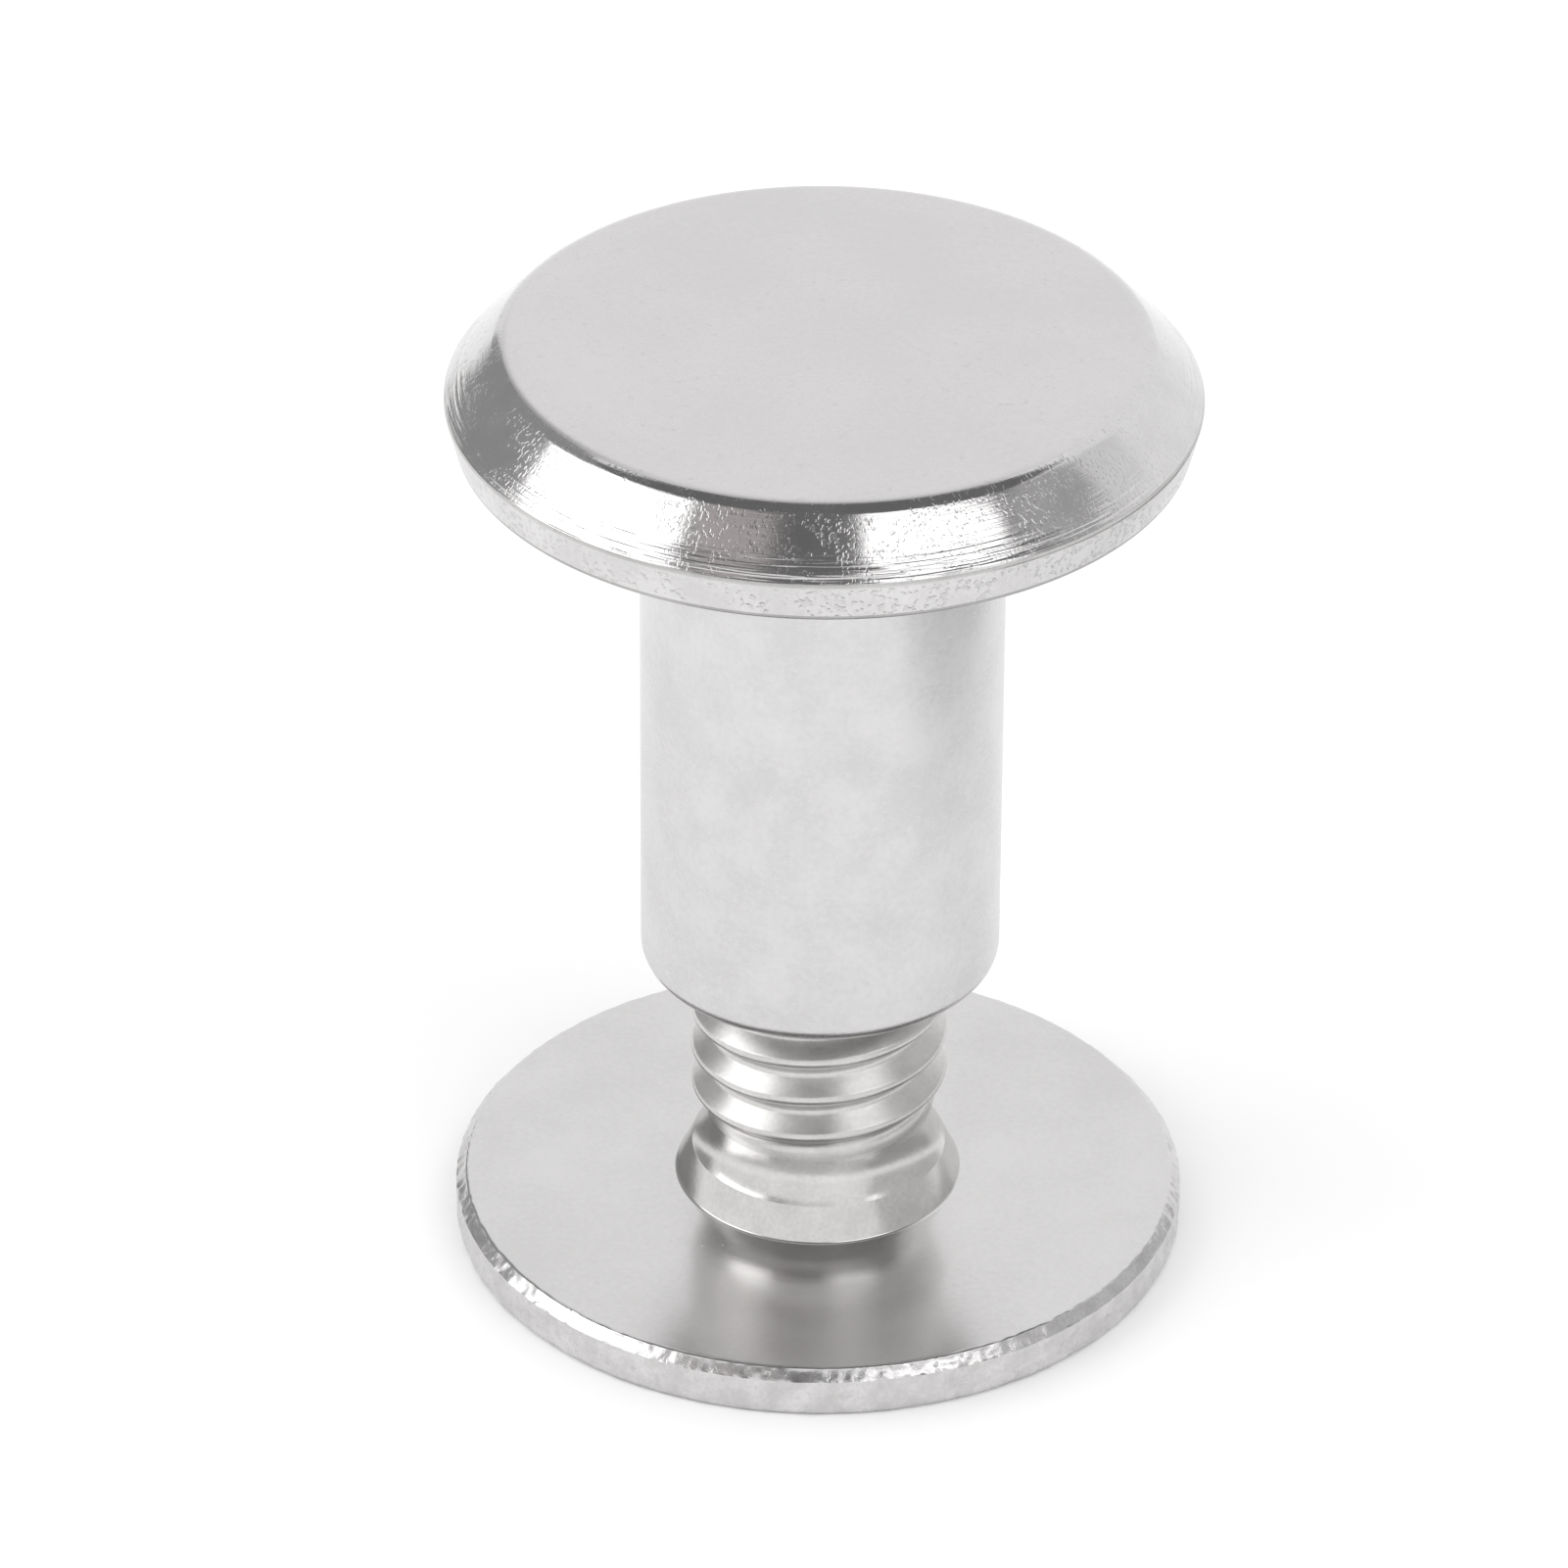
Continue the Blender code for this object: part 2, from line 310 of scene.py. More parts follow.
@dataclass(frozen=True)
class Thread:
    """A right-hand thread with rounded crests and roots, in millimetres.

    Attributes:
        crest: Radius of the crests.
        root: Radius of the roots.
        pitch: Climb in one turn.
        bottom: Height of its lower ring.
        top: Height of its upper ring.
        bottom_radius: Radius of the lower ring.
        top_radius: Radius of the upper ring.
        bottom_length: Length of the run-out at the lower ring.
        top_length: Length of the run-out at the upper ring.
        top_end: How the ridges end at the upper ring.
        start_angle: Angle at which the first crest leaves the lower ring.
        steps: Number of steps in a full turn.
        crest_share: Share of the pitch that the crest's flat takes.
        crest_round: Radius of the rounds on the crest's two edges.
        root_round: Radius of the rounds on the root's two edges.
        flank_angle: Angle between a flank and the plane across the axis.
        round_cuts: Number of segments in a round.
        spare_turns: Turns drawn past each ring, which are flattened into it.
    """

    crest: float
    root: float
    pitch: float
    bottom: float
    top: float
    bottom_radius: float
    top_radius: float
    bottom_length: float
    top_length: float
    top_end: ThreadEnd
    start_angle: float
    steps: int
    crest_share: float = 0.15
    crest_round: float = 0.09
    root_round: float = 0.09
    flank_angle: float = math.radians(40)
    round_cuts: int = 4
    spare_turns: int = 2

    def section(self) -> list[Corner]:
        """Work out the section of one pitch.

        Returns:
            Its corners, from crest to crest.
        """
        half_crest = self.crest_share * self.pitch / 2
        flank = abs(self.crest - self.root) * math.tan(self.flank_angle)
        foot = half_crest + flank
        return [
            Corner(self.crest, 0.0),
            Corner(self.crest, half_crest, self.crest_round),
            Corner(self.root, foot, self.root_round),
            Corner(self.root, self.pitch - foot, self.root_round),
            Corner(self.crest, self.pitch - half_crest, self.crest_round),
            Corner(self.crest, self.pitch),
        ]

    def build(self, name: str) -> bpy.types.Object:
        """Make the threaded tube between its two rings.

        Args:
            name: Name of the new part.

        Returns:
            The tube, open at both rings, in object mode.
        """
        start_share = self.start_angle / math.tau
        first_turn = math.floor(start_share) - self.spare_turns
        turns = math.ceil((self.top - self.bottom) / self.pitch) + 2 * self.spare_turns
        middle = self.crest_share / 2 - start_share + first_turn
        part = self._profile(name, self.bottom + self.pitch * middle)
        sweep = part.modifiers.new("Sweep", "SCREW")
        sweep.axis = "Z"
        sweep.angle = math.tau
        sweep.screw_offset = self.pitch
        sweep.iterations = turns
        sweep.steps = self.steps
        sweep.render_steps = self.steps
        sweep.use_merge_vertices = False
        bpy.ops.object.modifier_apply(modifier=sweep.name)
        bpy.ops.object.mode_set(mode="EDIT")
        select_places(part, lambda r, z: z < self.bottom)
        bpy.ops.transform.resize(value=(1.0, 1.0, 0.0), center_override=(0.0, 0.0, self.bottom))
        select_places(part, lambda r, z: z > self.top)
        bpy.ops.transform.resize(value=(1.0, 1.0, 0.0), center_override=(0.0, 0.0, self.top))
        bpy.ops.object.mode_set(mode="OBJECT")
        self._cast(part, "bottom", self.bottom_radius, self._bottom_weight)
        self._cast(part, "top", self.top_radius, self._top_weight)
        bpy.ops.object.mode_set(mode="EDIT")
        merge_points()
        bpy.ops.mesh.dissolve_degenerate(threshold=MERGE_DISTANCE)
        bpy.ops.object.mode_set(mode="OBJECT")
        return part

    def _profile(self, name: str, base: float) -> bpy.types.Object:
        """Draw the section of one pitch.

        Args:
            name: Name of the new part.
            base: Height of the section's first crest.

        Returns:
            The part with the drawn section, in object mode.
        """
        corners = [Corner(c.radius, base + c.height, c.fillet) for c in self.section()]
        part = draw_outline(name, corners)
        flank_turn = math.pi / 2 - self.flank_angle
        for corner in corners[1:-1]:
            round_corner(part, corner, corner.fillet * math.tan(flank_turn / 2), self.round_cuts)
        bpy.ops.object.mode_set(mode="OBJECT")
        return part

    def _bottom_weight(self, radius: float, height: float) -> float:
        """Return how far a point is drawn to the lower ring's cylinder."""
        share = min(1.0, (height - self.bottom) / self.bottom_length)
        return 1.0 - share * share * (3.0 - 2.0 * share)

    def _top_weight(self, radius: float, height: float) -> float:
        """Say how far a point is drawn to the upper ring's cylinder.

        Args:
            radius: The point's distance from the axis.
            height: The point's height.

        Returns:
            Its weight, from 0 to 1.
        """
        left = self.top - height
        if self.top_end is ThreadEnd.RUN_OUT:
            return max(0.0, 1.0 - left / self.top_length)
        limit = self.top_radius + left
        if radius <= limit:
            return 0.0
        return (radius - limit) / (radius - self.top_radius)

    def _cast(self, part: bpy.types.Object, name: str, radius: float, weight: Weight) -> None:
        """Draw points towards a cylinder by weight.

        Args:
            part: Part whose points move.
            name: Name of the vertex group that holds the weights.
            radius: Radius of the cylinder.
            weight: Gives a point's weight from its radius and height.
        """
        group = paint_weights(part, name, weight)
        cast = part.modifiers.new(name, "CAST")
        cast.cast_type = "CYLINDER"
        cast.use_radius_as_size = False
        cast.size = radius
        cast.factor = 1.0
        cast.use_z = False
        cast.vertex_group = group.name
        bpy.ops.object.modifier_apply(modifier=cast.name)
        part.vertex_groups.clear()


@dataclass(frozen=True)
class Wear:
    """A fine unevenness that is pressed into a mesh.

    Attributes:
        size: Size of its bumps in millimetres.
        depth: Its full depth in millimetres.
        detail: Number of finer layers.
    """

    size: float
    depth: float
    detail: int

    def press(self, piece: bpy.types.Object, name: str, weight: Weight) -> None:
        """Press the unevenness inwards where the weight says.

        Args:
            piece: Piece in object mode, in millimetres.
            name: Name of the texture and the vertex group.
            weight: Gives the share of the depth from a radius and a height.
        """
        group = paint_weights(piece, name, weight)
        clouds = bpy.data.textures.new(name, "CLOUDS")
        clouds.noise_scale = self.size
        clouds.noise_depth = self.detail
        clouds.noise_basis = "BLENDER_ORIGINAL"
        displace = piece.modifiers.new(name, "DISPLACE")
        displace.texture = clouds
        displace.texture_coords = "LOCAL"
        displace.strength = self.depth
        displace.mid_level = 1.0
        displace.vertex_group = group.name
        bpy.context.view_layer.objects.active = piece
        bpy.ops.object.modifier_apply(modifier=displace.name)
        piece.vertex_groups.clear()
        bpy.data.textures.remove(clouds)


@dataclass
class Nodes:
    """Adds and links the nodes of one material.

    Attributes:
        tree: The material's node tree.
    """

    tree: bpy.types.NodeTree

    def add(self, kind: str, inputs: dict[int | str, object], **settings: object) -> bpy.types.Node:
        """Add a node, set its properties and feed its inputs.

        Args:
            kind: Type of the node.
            inputs: Values or outputs for its inputs, by number or name.
            **settings: Its properties by name.

        Returns:
            The new node.
        """
        node = self.tree.nodes.new(kind)
        for key, value in settings.items():
            setattr(node, key, value)
        for key, value in inputs.items():
            self.feed(node.inputs[key], value)
        return node

    def feed(self, socket: bpy.types.NodeSocket, value: object) -> None:
        """Give an input its value, or link it to another node's output.

        Args:
            socket: The input.
            value: The value or the output.
        """
        if isinstance(value, bpy.types.NodeSocket):
            self.tree.links.new(value, socket)
        else:
            socket.default_value = value

    def math(self, operation: str, *values: object) -> bpy.types.NodeSocket:
        """Work out a number.

        Args:
            operation: What is worked out.
            *values: What it is worked out from, in order.

        Returns:
            The result.
        """
        node = self.add("ShaderNodeMath", dict(enumerate(values)), operation=operation)
        return node.outputs[0]

    def vector(self, operation: str, inputs: dict[int | str, object]) -> bpy.types.NodeSocket:
        """Work out a vector, or a vector's length.

        Args:
            operation: What is worked out.
            inputs: What it is worked out from, by number or name.

        Returns:
            The result.
        """
        node = self.add("ShaderNodeVectorMath", inputs, operation=operation)
        return node.outputs["Value" if operation == "LENGTH" else "Vector"]

    def millimetres(self) -> bpy.types.NodeSocket:
        """Return the place on the object in millimetres."""
        place = self.add("ShaderNodeTexCoord", {})
        return self.vector("SCALE", {0: place.outputs["Object"], "Scale": 1.0 / MM})

    def turned(
        self, place: bpy.types.NodeSocket, spacing: float, streaks: float
    ) -> bpy.types.NodeSocket:
        """Return a place in which marks run round the axis.

        Args:
            place: Place in millimetres.
            spacing: Distance between two marks across them.
            streaks: How often the marks change along a turn.

        Returns:
            A vector for a noise of scale 1.
        """
        x, y, z = self.add("ShaderNodeSeparateXYZ", {0: place}).outputs
        flat = self.add("ShaderNodeCombineXYZ", {0: x, 1: y}).outputs[0]
        around = self.vector("SCALE", {0: self.vector("NORMALIZE", {0: flat}), "Scale": streaks})
        across = self.math("SUBTRACT", self.vector("LENGTH", {0: flat}), z)
        lift = self.add("ShaderNodeCombineXYZ", {2: self.math("DIVIDE", across, spacing)})
        return self.vector("ADD", {0: around, 1: lift.outputs[0]})

    def noise(self, place: bpy.types.NodeSocket, size: float, detail: float) -> bpy.types.NodeSocket:
        """Return a noise of a given size, from 0 to 1.

        Args:
            place: Where it is read.
            size: Size of its features in the place's unit.
            detail: Number of finer layers.

        Returns:
            The noise.
        """
        inputs = {"Vector": place, "Scale": 1.0 / size, "Detail": detail}
        return self.add("ShaderNodeTexNoise", inputs).outputs["Fac"]

    def spots(self, noise: bpy.types.NodeSocket, start: float, full: float) -> bpy.types.NodeSocket:
        """Return 1 where a noise is past full and 0 where it is short of start.

        Args:
            noise: The noise.
            start: Its value at which a spot begins.
            full: Its value at which the spot is full.

        Returns:
            The spots' mask.
        """
        inputs = {"Value": noise, "From Min": start, "From Max": full}
        return self.add("ShaderNodeMapRange", inputs, interpolation_type="SMOOTHSTEP").outputs[0]

    def mix(
        self, share: bpy.types.NodeSocket, first: Sequence[float], second: Sequence[float]
    ) -> bpy.types.NodeSocket:
        """Return a colour between two colours.

        Args:
            share: Share of the second colour.
            first: The first colour.
            second: The second colour.

        Returns:
            The mixed colour.
        """
        inputs = {"Factor": share, MIX_FIRST: (*first, 1.0), MIX_SECOND: (*second, 1.0)}
        return self.add("ShaderNodeMix", inputs, data_type="RGBA").outputs[MIX_RESULT]


@dataclass(frozen=True)
class MarkBand:
    """A band of coarser turned marks between two heights. Lengths are in millimetres.

    Attributes:
        foot: Height of its lower end.
        top: Height of its upper end.
        spacing: Distance between two marks.
        depth: Depth of the marks.
        streaks: How often the marks change along a turn.
    """

    foot: float
    top: float
    spacing: float
    depth: float
    streaks: float

    def height(self, nodes: Nodes, place: bpy.types.NodeSocket) -> bpy.types.NodeSocket:
        """Return the height of the band's marks.

        Args:
            nodes: Nodes of the material.
            place: Place in millimetres.

        Returns:
            The height, which is 0 outside the band.
        """
        z = nodes.add("ShaderNodeSeparateXYZ", {0: place}).outputs[2]
        share = nodes.spots(z, self.top, self.foot)
        marks = nodes.noise(nodes.turned(place, self.spacing, self.streaks), 1.0, detail=2.0)
        return nodes.math("MULTIPLY", nodes.math("MULTIPLY", marks, share), self.depth)


SPARSEST_PITS = 0.72  # noise past which pits start at a pit_share of 0
PIT_SHARE_DROP = 0.3  # how much less noise it takes at a pit_share of 1
PIT_SLOPE = 0.14  # rise of the noise between a pit's edge and its floor
UPRIGHT_PITS = (2.2, 4.6)  # spacing and streaks of the place that upright pits read
PIT_CLUSTERS = (0.38, 0.50)  # clouds that hold no pits, and all pits
PIT_ROUGHNESS = 0.08
CLOUDS_IN_TONE = 0.65
GRAIN_IN_TONE = 0.35
PITS_IN_TONE = 0.15
TONE_RANGE = (0.3, 0.7)  # tones of the dark and of the light colour


@dataclass(frozen=True)
class Plate:
    """Nickel plate on a turned or rolled steel surface. Lengths are in millimetres.

    Attributes:
        name: Name of the material.
        dark: Its colour where it is dullest.
        light: Its colour where it is clearest.
        roughness: Its mean roughness.
        cloud_size: Size of the soft clouds in its colour and roughness.
        cloud_roughness: How much the clouds change the roughness.
        grain_size: Size of the fine grain.
        grain_depth: Depth of the fine grain.
        mark_spacing: Distance between two turned marks.
        mark_depth: Depth of the turned marks.
        mark_roughness: How much the marks change the roughness.
        streaks: How often the marks change along a turn.
        pit_size: Size of the pits.
        pit_share: How full of pits it is, from 0 to 1.
        pit_depth: Depth of the pits.
        pit_shape: How the pits lie.
        band: A band of coarser marks, if it has one.
    """

    name: str
    dark: tuple[float, float, float]
    light: tuple[float, float, float]
    roughness: float
    cloud_size: float = 0.9
    cloud_roughness: float = 0.06
    grain_size: float = 0.05
    grain_depth: float = 0.0003
    mark_spacing: float = 0.03
    mark_depth: float = 0.0002
    mark_roughness: float = 0.04
    streaks: float = 2.0
    pit_size: float = 0.07
    pit_share: float = 0.2
    pit_depth: float = 0.001
    pit_shape: PitShape = PitShape.ROUND
    band: MarkBand | None = None

    def material(self) -> bpy.types.Material:
        """Build the material.

        Returns:
            The material, named for the plate.
        """
        material = bpy.data.materials.new(self.name)
        material.use_nodes = True
        nodes = Nodes(material.node_tree)
        shader = material.node_tree.nodes["Principled BSDF"]
        shader.inputs["Metallic"].default_value = 1.0
        place = nodes.millimetres()
        clouds = nodes.noise(place, self.cloud_size, detail=4.0)
        grain = nodes.noise(place, self.grain_size, detail=3.0)
        marks = nodes.noise(nodes.turned(place, self.mark_spacing, self.streaks), 1.0, detail=4.0)
        pits = self._pits(nodes, place, clouds)
        tone = nodes.math("MULTIPLY", clouds, CLOUDS_IN_TONE)
        tone = nodes.math("MULTIPLY_ADD", grain, GRAIN_IN_TONE, tone)
        tone = nodes.math("SUBTRACT", tone, nodes.math("MULTIPLY", pits, PITS_IN_TONE))
        colour = nodes.mix(nodes.spots(tone, *TONE_RANGE), self.dark, self.light)
        nodes.feed(shader.inputs["Base Color"], colour)
        cloudy = nodes.math("SUBTRACT", clouds, NOISE_MEAN)
        marked = nodes.math("SUBTRACT", marks, NOISE_MEAN)
        rough = nodes.math("MULTIPLY_ADD", cloudy, self.cloud_roughness, self.roughness)
        rough = nodes.math("MULTIPLY_ADD", marked, self.mark_roughness, rough)
        rough = nodes.math("MULTIPLY_ADD", pits, PIT_ROUGHNESS, rough)
        nodes.feed(shader.inputs["Roughness"], rough)
        height = nodes.math("MULTIPLY", grain, self.grain_depth)
        height = nodes.math("MULTIPLY_ADD", marks, self.mark_depth, height)
        height = nodes.math("MULTIPLY_ADD", pits, -self.pit_depth, height)
        if self.band is not None:
            height = nodes.math("ADD", height, self.band.height(nodes, place))
        bump = nodes.add("ShaderNodeBump", {"Distance": MM, "Height": height})
        nodes.feed(shader.inputs["Normal"], bump.outputs[0])
        return material

    def _pits(
        self, nodes: Nodes, place: bpy.types.NodeSocket, clouds: bpy.types.NodeSocket
    ) -> bpy.types.NodeSocket:
        """Return the pits, which come in clusters.

        Args:
            nodes: Nodes of the material.
            place: Place in millimetres.
            clouds: The plate's clouds, which hold the clusters.

        Returns:
            The pits' mask.
        """
        if self.pit_shape is PitShape.UPRIGHT:
            place = nodes.turned(place, *UPRIGHT_PITS)
        noise = nodes.noise(place, self.pit_size, detail=1.0)
        start = SPARSEST_PITS - PIT_SHARE_DROP * self.pit_share
        pits = nodes.spots(noise, start, start + PIT_SLOPE)
        return nodes.math("MULTIPLY", pits, nodes.spots(clouds, *PIT_CLUSTERS))


TOP_PLATE = Plate(
    name="satin_top_plate",
    dark=(0.645, 0.632, 0.638),
    light=(0.695, 0.680, 0.686),
    roughness=0.27,
    cloud_size=2.2,
    grain_size=0.08,
    grain_depth=0.0004,
    mark_depth=0.0,
    pit_size=0.12,
    pit_share=0.25,
    pit_depth=0.0006,
)
BEVEL_PLATE = Plate(
    name="polished_bevel_plate",
    dark=(0.625, 0.615, 0.615),
    light=(0.69, 0.68, 0.68),
    roughness=0.12,
    cloud_size=0.5,
    grain_depth=0.0005,
    mark_spacing=0.028,
    mark_depth=0.0012,
    mark_roughness=0.08,
    streaks=1.6,
    pit_size=0.042,
    pit_share=0.6,
    pit_depth=0.0013,
    pit_shape=PitShape.UPRIGHT,
)
# Painted shade: a darker ring of colour round the foot of the bevel. It stands in for the dark line
# that the light leaves along that edge.
FOOT_SHADE_LINE_PLATE = Plate(
    name="painted_shade_foot_line_plate",
    dark=(0.47, 0.465, 0.46),
    light=(0.58, 0.575, 0.57),
    roughness=0.22,
    grain_depth=0.0008,
    mark_depth=0.0004,
)
# Painted shadow: a still darker ring of colour at the foot of the rim. It stands in for the shadow line
# where the head's underside meets the barrel.
UNDER_SHADOW_LINE_PLATE = replace(
    FOOT_SHADE_LINE_PLATE,
    name="painted_shadow_under_line_plate",
    dark=(0.36, 0.355, 0.35),
    light=(0.46, 0.455, 0.45),
    roughness=0.30,
)
RIM_BAND_PLATE = Plate(
    name="satin_rim_band_plate",
    dark=(0.60, 0.59, 0.59),
    light=(0.72, 0.71, 0.71),
    roughness=0.30,
    grain_size=0.06,
    grain_depth=0.0022,
    mark_depth=0.0006,
    pit_size=0.08,
    pit_share=0.62,
    pit_depth=0.008,
)
BARREL_PLATE = Plate(
    name="satin_barrel_plate",
    dark=(0.605, 0.597, 0.60),
    light=(0.69, 0.68, 0.682),
    roughness=0.28,
    cloud_size=0.8,
    cloud_roughness=0.08,
    grain_size=0.09,
    grain_depth=0.0014,
    mark_spacing=0.05,
    mark_depth=0.0003,
    pit_size=0.1,
    pit_share=0.12,
)
BORE_PLATE = Plate(
    name="tapped_bore_plate",
    dark=(0.46, 0.45, 0.44),
    light=(0.56, 0.55, 0.54),
    roughness=0.38,
    grain_depth=0.001,
)
FACE_PLATE = Plate(
    name="drawn_face_plate",
    dark=(0.64, 0.63, 0.63),
    light=(0.70, 0.69, 0.69),
    roughness=0.20,
    cloud_size=1.4,
    grain_size=0.08,
    grain_depth=0.0005,
    mark_spacing=0.12,
    mark_depth=0.0006,
    streaks=1.0,
    pit_share=0.1,
)
ROUGH_RIM_PLATE = Plate(
    name="rough_rim_plate",
    dark=(0.56, 0.55, 0.55),
    light=(0.72, 0.71, 0.71),
    roughness=0.26,
    cloud_size=0.35,
    cloud_roughness=0.12,
    grain_size=0.06,
    grain_depth=0.003,
    mark_depth=0.0,
    pit_size=0.12,
    pit_share=0.3,
    pit_depth=0.004,
)
THREAD_PLATE = Plate(
    name="rolled_thread_plate",
    dark=(0.58, 0.575, 0.565),
    light=(0.70, 0.69, 0.68),
    roughness=0.34,
    cloud_size=0.5,
    grain_size=0.06,
    grain_depth=0.0009,
    mark_depth=0.0,
    pit_share=0.1,
)
COLLAR_PLATE = replace(THREAD_PLATE, name="burnished_collar_plate", roughness=0.20)
UNDERSIDE_PLATE = Plate(
    name="satin_underside_plate",
    dark=(0.58, 0.57, 0.57),
    light=(0.67, 0.66, 0.66),
    roughness=0.28,
    cloud_size=1.2,
    grain_depth=0.0008,
    mark_spacing=0.09,
    mark_depth=0.0009,
    streaks=1.0,
)


@dataclass(frozen=True)
class Dressing:
    """One finish and the part of a piece that it covers.

    Attributes:
        plate: The finish.
        where: Says of a face's radius and height whether it is covered.
    """

    plate: Plate
    where: Place


def finish_piece(
    piece: bpy.types.Object, dressings: Sequence[Dressing], body: str, node: str
) -> None:
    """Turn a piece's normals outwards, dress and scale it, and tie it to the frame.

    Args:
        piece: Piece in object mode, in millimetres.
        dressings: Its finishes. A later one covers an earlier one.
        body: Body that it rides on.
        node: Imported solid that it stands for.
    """
    bpy.ops.object.select_all(action="DESELECT")
    piece.select_set(True)
    bpy.context.view_layer.objects.active = piece
    for dressing in dressings:
        piece.data.materials.append(dressing.plate.material())
    bpy.ops.object.mode_set(mode="EDIT")
    bpy.ops.mesh.select_all(action="SELECT")
    bpy.ops.mesh.normals_make_consistent(inside=False)
    for index, dressing in enumerate(dressings):
        piece.active_material_index = index
        select_places(piece, dressing.where, kind="FACE")
        bpy.ops.object.material_slot_assign()
    bpy.ops.mesh.select_all(action="SELECT")
    bpy.ops.transform.resize(value=(MM, MM, MM), center_override=(0.0, 0.0, 0.0))
    bpy.ops.object.mode_set(mode="OBJECT")
    bpy.ops.object.shade_smooth_by_angle(angle=SMOOTH_ANGLE)
    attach(piece, body)
    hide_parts(node)
    log.info("%s: %d faces, rides on %s", piece.name, len(piece.data.polygons), body)


@dataclass
class Post:
    """The upper piece: a bevelled head on a barrel with a tapped bore.

    Lengths are in millimetres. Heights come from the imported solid.
    """

    node: str = "threaded_post"
    crown: float = 0.04
    crown_rings: int = 6
    top_round: float = 0.35
    satin_inset: float = 0.03
    bevel_width: float = 0.74
    bevel_height: float = 0.80
    rim_height: float = 0.58
    rim_taper: float = 0.15
    rim_round: float = 0.08
    # Half the height of the painted shade line at the foot of the bevel.
    foot_line: float = 0.03
    # Height of the painted shadow line at the foot of the rim. It also places a ring in the outline.
    under_line: float = 0.085
    foot_marks_height: float = 0.44
    foot_marks_spacing: float = 0.09
    foot_marks_depth: float = 0.024
    foot_marks_streaks: float = 2.6
    barrel_radius: float = 2.43
    barrel_margin: float = 0.3
    barrel_root_round: float = 0.15
    barrel_end_round: float = 0.26
    mouth_radius: float = 2.15
    mouth_round: float = 0.02
    bore_radius: float = 1.83
    bore_depth: float = 7.2
    drill_half_angle: float = math.radians(59)
    thread_pitch: float = 0.60
    groove_depth: float = 0.20
    thread_set_back: float = 0.10
    run_out: float = 0.45
    steps: int = 256
    head_radius: float = field(init=False)
    top_radius: float = field(init=False)
    bevel_top: float = field(init=False)
    rim_top: float = field(init=False)
    rim_bottom: float = field(init=False)
    mouth_z: float = field(init=False)
    bore_z: float = field(init=False)
    bore_end: float = field(init=False)
    point_z: float = field(init=False)

    def __post_init__(self) -> None:
        """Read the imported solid's place and work out the heights from it."""
        low, high = node_box(self.node)
        self.head_radius = high.x
        self.top_radius = self.head_radius - self.bevel_width
        self.bevel_top = high.z - self.crown
        self.rim_top = self.bevel_top - self.bevel_height
        self.rim_bottom = self.rim_top - self.rim_height
        self.mouth_z = low.z
        self.bore_z = self.mouth_z + self.mouth_radius - self.bore_radius
        self.bore_end = self.mouth_z + self.bore_depth
        self.point_z = self.bore_end + self.bore_radius / math.tan(self.drill_half_angle)

    def build(self) -> None:
        """Model the post and dress it."""
        piece = join_parts("stud_post", [self._shell(), self._thread(), self._drill_point()])
        bpy.ops.object.mode_set(mode="OBJECT")
        finish_piece(piece, self._dressings(), "post", self.node)

    def _shell(self) -> bpy.types.Object:
        """Turn the post from the middle of its crown to the start of the bore's thread.

        Returns:
            The shell, in object mode.
        """
        shares = [ring / self.crown_rings for ring in range(self.crown_rings)]
        crown = [
            Corner(self.top_radius * share, self.bevel_top + self.crown * (1.0 - share**2))
            for share in shares
        ]
        under_share = 1.0 - self.under_line / self.rim_height
        under_radius = self.head_radius - self.rim_taper * under_share
        return Lathe(self.steps).turn(
            "stud_post",
            [
                *crown,
                Corner(self.top_radius, self.bevel_top, self.top_round),
                Corner(self.head_radius, self.rim_top, self.rim_round),
                # This ring bounds the painted shadow line at the rim's foot.
                Corner(under_radius, self.rim_bottom + self.under_line),
                Corner(self.head_radius - self.rim_taper, self.rim_bottom, self.rim_round),
                Corner(self.barrel_radius, self.rim_bottom, self.barrel_root_round),
                Corner(self.barrel_radius, self.mouth_z, self.barrel_end_round),
                Corner(self.mouth_radius, self.mouth_z, self.mouth_round),
                Corner(self.bore_radius, self.bore_z),
                Corner(self.bore_radius, self.bore_z + self.thread_set_back),
            ],
        )

    def _thread(self) -> bpy.types.Object:
        """Make the thread groove in the bore's wall.

        Returns:
            The thread, in object mode.
        """
        return Thread(
            crest=self.bore_radius,
            root=self.bore_radius + self.groove_depth,
            pitch=self.thread_pitch,
            bottom=self.bore_z + self.thread_set_back,
            top=self.bore_end - self.thread_set_back,
            bottom_radius=self.bore_radius,
            top_radius=self.bore_radius,
            bottom_length=self.run_out,
            top_length=self.run_out,
            top_end=ThreadEnd.RUN_OUT,
            start_angle=0.0,
            steps=self.steps,
        ).build("bore_thread")

    def _drill_point(self) -> bpy.types.Object:
        """Turn the blind end that the drill left in the bore.

        Returns:
            The blind end, in object mode.
        """
        corners = [
            Corner(self.bore_radius, self.bore_end - self.thread_set_back),
            Corner(self.bore_radius, self.bore_end),
            Corner(0.0, self.point_z),
        ]
        return Lathe(self.steps).turn("drill_point", corners)

